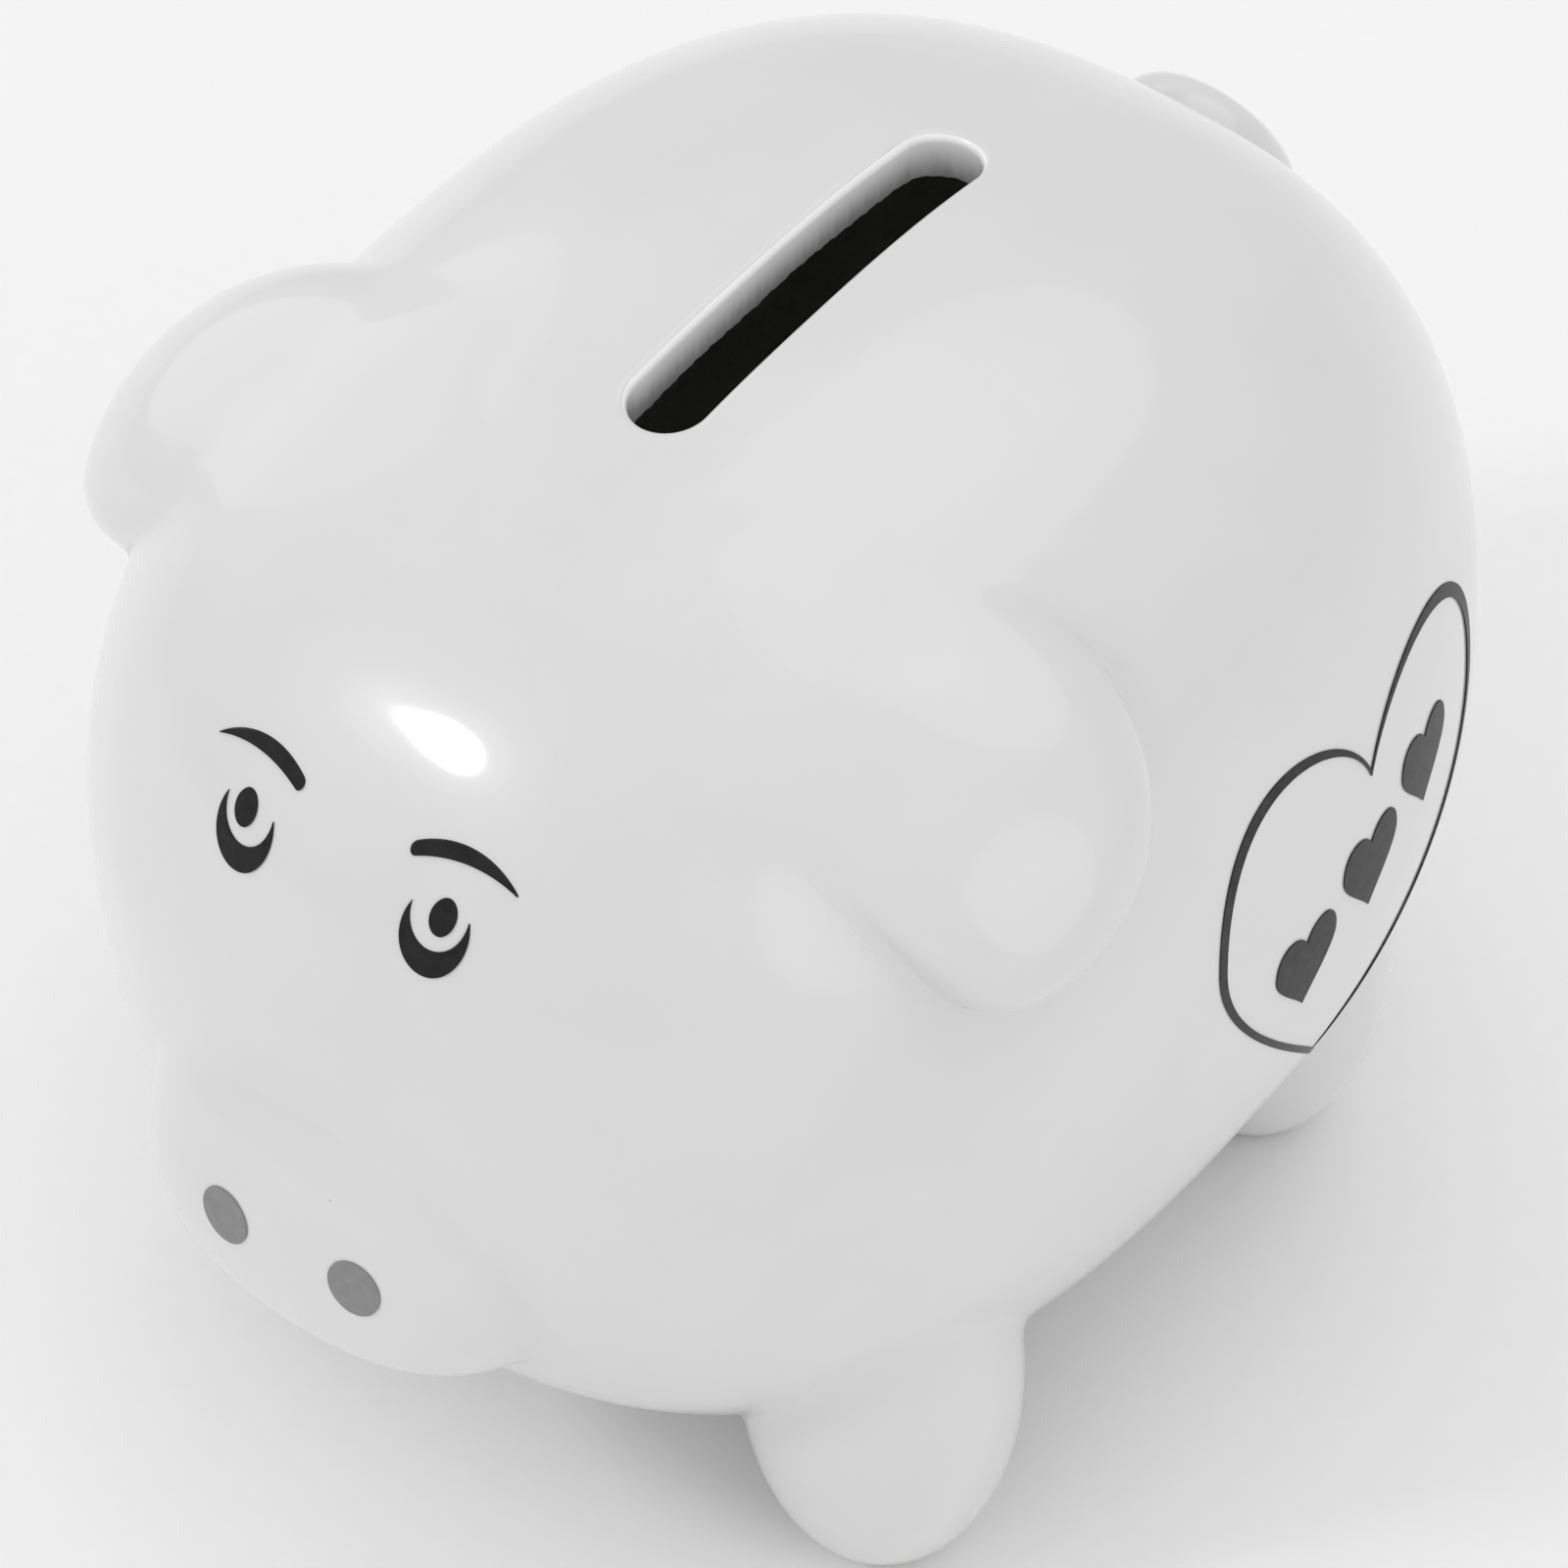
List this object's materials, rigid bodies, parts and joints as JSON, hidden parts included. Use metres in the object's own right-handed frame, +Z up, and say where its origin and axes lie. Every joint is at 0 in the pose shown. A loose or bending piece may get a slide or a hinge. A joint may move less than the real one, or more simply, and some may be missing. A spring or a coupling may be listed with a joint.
{
  "type": "coin bank",
  "caption": "Hollow glazed pig-shaped coin bank on stub legs, with a coin slot along its back and a rubber stopper under its belly.",
  "frame": {"origin": "on the table, under the centre of the whole bank's box", "axes": "+Z up, the pig faces -Y and its left side is +X, so the coin slot runs along Y"},
  "size_m": [0.108, 0.1351, 0.1073],
  "materials": {
    "glazed_ceramic": "clear glossy glaze over a white body",
    "stopper_rubber": "matt moulded rubber",
    "black_print": "black ceramic transfer under gloss",
    "grey_print": "mid-grey ceramic transfer under gloss",
    "dark_print": "dark grey ceramic transfer under gloss"
  },
  "bodies": {
    "bank": {"body_shell": "glazed_ceramic", "snout": "glazed_ceramic", "ear_left": "glazed_ceramic", "ear_right": "glazed_ceramic", "leg_front_left": "glazed_ceramic", "leg_front_right": "glazed_ceramic", "leg_rear_left": "glazed_ceramic", "leg_rear_right": "glazed_ceramic", "tail": "glazed_ceramic", "eye_rim_left": "black_print", "eye_rim_right": "black_print", "pupil_left": "black_print", "pupil_right": "black_print", "brow_left": "black_print", "brow_right": "black_print", "nostril_left": "grey_print", "nostril_right": "grey_print", "heart_outline": "dark_print", "small_hearts": "dark_print"},
    "stopper": {"belly_stopper": "stopper_rubber"}
  },
  "joints": [
    {"name": "stopper_pull", "type": "slide", "parent": "bank", "child": "stopper", "axis": [0, 0.0732, -0.9973], "range_m": [0, 0.02]}
  ]
}
